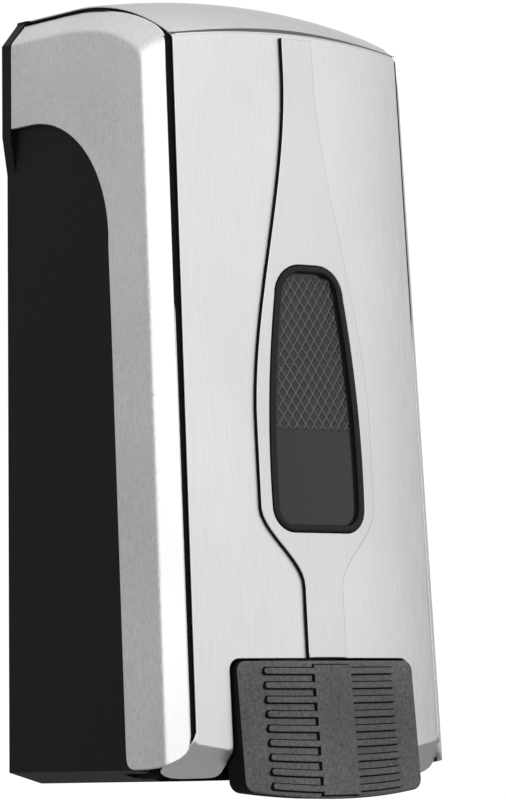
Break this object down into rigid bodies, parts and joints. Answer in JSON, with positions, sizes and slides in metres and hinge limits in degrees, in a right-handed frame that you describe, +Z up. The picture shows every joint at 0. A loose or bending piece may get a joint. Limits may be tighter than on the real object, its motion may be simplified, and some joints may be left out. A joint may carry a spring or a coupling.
{
  "type": "wall mounted soap dispenser",
  "caption": "Tall leaning soap dispenser with silver bowed cover, black housing, ribbed push bar, level window, reservoir and piston pump.",
  "frame": {"origin": "centre of the wall face of the back housing", "axes": "+X to the right seen from the room, +Y into the wall, +Z up"},
  "size_m": [0.1218, 0.1124, 0.2822],
  "materials": {
    "back_housing": "matte black",
    "side_frame_left": "satin, polished strip",
    "side_frame_right": "satin, polished strip",
    "front_panel": "brushed",
    "centre_spine": "brushed",
    "window_frame": "satin black",
    "window_lens": "smoked",
    "cover_frame": "matte black",
    "frame_screws": "plain",
    "push_bar": "satin dark grey",
    "push_bar_pin": "plain",
    "push_bar_spring": "plain",
    "hinge_pins": "plain",
    "lock_barrel": "polished",
    "lock_plug": "plain",
    "lock_nut": "plain",
    "lock_cam": "plain",
    "latch_keeper": "plain",
    "keeper_screws": "plain",
    "reservoir": "milky",
    "reservoir_lid": "matte",
    "lid_seal": "matte",
    "pump_body": "natural",
    "pump_cap": "matte",
    "pump_piston": "matte",
    "piston_ring": "matte",
    "pump_spring": "plain",
    "inlet_ball": "polished",
    "outlet_ball": "polished",
    "nozzle": "matte",
    "nozzle_ring": "matte"
  },
  "bodies": {
    "housing": {"back_housing": "back_housing", "hinge_pins": "hinge_pins", "latch_keeper": "latch_keeper", "keeper_screws": "keeper_screws", "reservoir": "reservoir", "pump_body": "pump_body", "pump_cap": "pump_cap", "pump_spring": "pump_spring", "inlet_ball": "inlet_ball", "outlet_ball": "outlet_ball", "nozzle": "nozzle", "nozzle_ring": "nozzle_ring"},
    "cover": {"cover_frame": "cover_frame", "side_frame_left": "side_frame_left", "side_frame_right": "side_frame_right", "front_panel": "front_panel", "centre_spine": "centre_spine", "window_frame": "window_frame", "window_lens": "window_lens", "frame_screws": "frame_screws", "push_bar_pin": "push_bar_pin", "push_bar_spring": "push_bar_spring", "lock_barrel": "lock_barrel", "lock_nut": "lock_nut"},
    "lever": {"push_bar": "push_bar"},
    "lock": {"lock_plug": "lock_plug", "lock_cam": "lock_cam"},
    "piston": {"pump_piston": "pump_piston", "piston_ring": "piston_ring"},
    "lid": {"reservoir_lid": "reservoir_lid", "lid_seal": "lid_seal"}
  },
  "joints": [
    {"name": "cover_hinge", "type": "hinge", "parent": "housing", "child": "cover", "pos_m": [0, -0.07, -0.124], "axis": [1, 0, 0], "range_deg": [0, 95]},
    {"name": "push_bar_hinge", "type": "hinge", "parent": "cover", "child": "lever", "pos_m": [0, -0.097, -0.102], "axis": [1, 0, 0], "range_deg": [0, 13], "stiffness_Nm_per_rad": 0.5, "springref_deg": -20.05},
    {"name": "lock_turn", "type": "hinge", "parent": "cover", "child": "lock", "pos_m": [0, -0.02, 0.118], "axis": [0, 0, 1], "range_deg": [0, 90]},
    {"name": "piston_slide", "type": "slide", "parent": "housing", "child": "piston", "axis": [0, 1, 0], "range_m": [0, 0.0055], "deforming": ["pump_spring"]},
    {"name": "lid_lift", "type": "slide", "parent": "housing", "child": "lid", "axis": [0, 0, 1], "range_m": [0, 0.012]}
  ],
  "couplings": [
    {"joint": "piston_slide", "follows": "push_bar_hinge", "m_per_rad": 0.0231}
  ]
}
